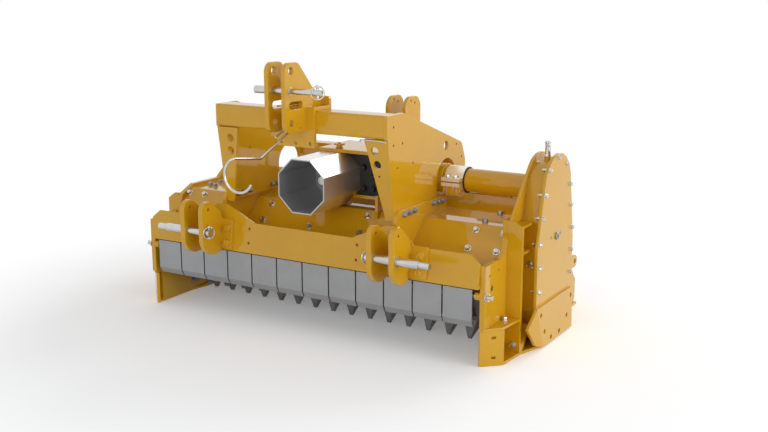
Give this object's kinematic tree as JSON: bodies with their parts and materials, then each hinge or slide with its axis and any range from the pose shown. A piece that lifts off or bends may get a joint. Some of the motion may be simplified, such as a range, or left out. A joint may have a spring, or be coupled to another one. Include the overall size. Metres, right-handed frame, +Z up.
{
  "type": "tractor stone crusher",
  "caption": "Tractor-mounted stone crusher with three-point headstock, toothed rotor, swinging front flaps, side drive housing and lifting rear hood.",
  "frame": {"origin": "on the floor under the middle of the whole machine's box", "axes": "+X towards the drive housing side, +Y to the rear, away from the tractor, +Z up"},
  "size_m": [1.525, 1.193, 0.943],
  "materials": {
    "yellow_paint": "satin",
    "worn_steel": "matte",
    "bright_steel": "satin",
    "galvanised_steel": "satin",
    "black_cast_iron": "satin",
    "dark_steel": "matte",
    "black_paint": "satin",
    "chrome_rod": "polished"
  },
  "bodies": {
    "frame": {"side_plate_left": "yellow_paint", "side_plate_right": "yellow_paint", "skid_left": "yellow_paint", "skid_right": "yellow_paint", "gusset_left": "yellow_paint", "gusset_right": "yellow_paint", "front_beam": "yellow_paint", "clevis_left": "yellow_paint", "clevis_right": "yellow_paint", "cheek_left": "yellow_paint", "cheek_right": "yellow_paint", "web_left": "yellow_paint", "web_right": "yellow_paint", "hood": "yellow_paint", "top_beam": "yellow_paint", "hitch_bracket": "yellow_paint", "gearbox_deck": "yellow_paint", "shaft_tube": "yellow_paint", "drive_housing": "yellow_paint", "drive_cover": "yellow_paint", "wear_plate": "yellow_paint", "rear_tower": "yellow_paint", "gearbox_cradle": "yellow_paint", "shaft_sleeve": "yellow_paint", "flap_rod": "bright_steel", "hinge_rod": "bright_steel", "lower_pin_left": "bright_steel", "lower_pin_right": "bright_steel", "top_pin": "bright_steel", "tower_pin": "bright_steel", "breather": "bright_steel", "shaft_guard": "galvanised_steel", "clamp_collar": "galvanised_steel", "input_stub": "bright_steel", "gearbox": "black_cast_iron", "rotor_bearing": "black_cast_iron"},
    "flap_01": {"flap_01": "worn_steel"},
    "flap_02": {"flap_02": "worn_steel"},
    "flap_03": {"flap_03": "worn_steel"},
    "flap_04": {"flap_04": "worn_steel"},
    "flap_05": {"flap_05": "worn_steel"},
    "flap_06": {"flap_06": "worn_steel"},
    "flap_07": {"flap_07": "worn_steel"},
    "flap_08": {"flap_08": "worn_steel"},
    "flap_09": {"flap_09": "worn_steel"},
    "flap_10": {"flap_10": "worn_steel"},
    "flap_11": {"flap_11": "worn_steel"},
    "flap_12": {"flap_12": "worn_steel"},
    "rotor": {"rotor": "dark_steel"},
    "shaft_hook": {"shaft_hook": "bright_steel"},
    "rear_hood": {"rear_hood": "yellow_paint"},
    "cylinder_barrel": {"cylinder_barrel": "black_paint"},
    "cylinder_rod": {"cylinder_rod": "chrome_rod"}
  },
  "joints": [
    {"name": "flap_01_swing", "type": "hinge", "parent": "frame", "child": "flap_01", "pos_m": [-0.0205, -0.1995, 0.231], "axis": [1, 0, 0], "range_deg": [-75, 30]},
    {"name": "flap_02_swing", "type": "hinge", "parent": "frame", "child": "flap_02", "pos_m": [-0.0205, -0.1995, 0.231], "axis": [1, 0, 0], "range_deg": [-75, 30]},
    {"name": "flap_03_swing", "type": "hinge", "parent": "frame", "child": "flap_03", "pos_m": [-0.0205, -0.1995, 0.231], "axis": [1, 0, 0], "range_deg": [-75, 30]},
    {"name": "flap_04_swing", "type": "hinge", "parent": "frame", "child": "flap_04", "pos_m": [-0.0205, -0.1995, 0.231], "axis": [1, 0, 0], "range_deg": [-75, 30]},
    {"name": "flap_05_swing", "type": "hinge", "parent": "frame", "child": "flap_05", "pos_m": [-0.0205, -0.1995, 0.231], "axis": [1, 0, 0], "range_deg": [-75, 30]},
    {"name": "flap_06_swing", "type": "hinge", "parent": "frame", "child": "flap_06", "pos_m": [-0.0205, -0.1995, 0.231], "axis": [1, 0, 0], "range_deg": [-75, 30]},
    {"name": "flap_07_swing", "type": "hinge", "parent": "frame", "child": "flap_07", "pos_m": [-0.0205, -0.1995, 0.231], "axis": [1, 0, 0], "range_deg": [-75, 30]},
    {"name": "flap_08_swing", "type": "hinge", "parent": "frame", "child": "flap_08", "pos_m": [-0.0205, -0.1995, 0.231], "axis": [1, 0, 0], "range_deg": [-75, 30]},
    {"name": "flap_09_swing", "type": "hinge", "parent": "frame", "child": "flap_09", "pos_m": [-0.0205, -0.1995, 0.231], "axis": [1, 0, 0], "range_deg": [-75, 30]},
    {"name": "flap_10_swing", "type": "hinge", "parent": "frame", "child": "flap_10", "pos_m": [-0.0205, -0.1995, 0.231], "axis": [1, 0, 0], "range_deg": [-75, 30]},
    {"name": "flap_11_swing", "type": "hinge", "parent": "frame", "child": "flap_11", "pos_m": [-0.0205, -0.1995, 0.231], "axis": [1, 0, 0], "range_deg": [-75, 30]},
    {"name": "flap_12_swing", "type": "hinge", "parent": "frame", "child": "flap_12", "pos_m": [-0.0205, -0.1995, 0.231], "axis": [1, 0, 0], "range_deg": [-75, 30]},
    {"name": "rotor_spin", "type": "hinge", "parent": "frame", "child": "rotor", "pos_m": [-0.0205, 0.0405, 0.17524], "axis": [1, 0, 0], "continuous": true},
    {"name": "hook_swing", "type": "hinge", "parent": "frame", "child": "shaft_hook", "pos_m": [-0.0205, -0.2665, 0.727], "axis": [-1, 0, 0], "range_deg": [0, 60]},
    {"name": "rear_hood_lift", "type": "hinge", "parent": "frame", "child": "rear_hood", "pos_m": [-0.0205, 0.2795, 0.452], "axis": [1, 0, 0], "range_deg": [0, 20]},
    {"name": "cylinder_swing", "type": "hinge", "parent": "frame", "child": "cylinder_barrel", "pos_m": [-0.0205, 0.4905, 0.65], "axis": [1, 0, 0], "range_deg": [-4, 4]},
    {"name": "cylinder_stroke", "type": "slide", "parent": "cylinder_barrel", "child": "cylinder_rod", "axis": [0, 0.0077, -1], "range_m": [-0.0769, 0.001]}
  ],
  "couplings": [
    {"joint": "cylinder_swing", "follows": "rear_hood_lift", "ratio": 0.159},
    {"joint": "cylinder_stroke", "follows": "rear_hood_lift", "m_per_rad": -0.2175}
  ]
}
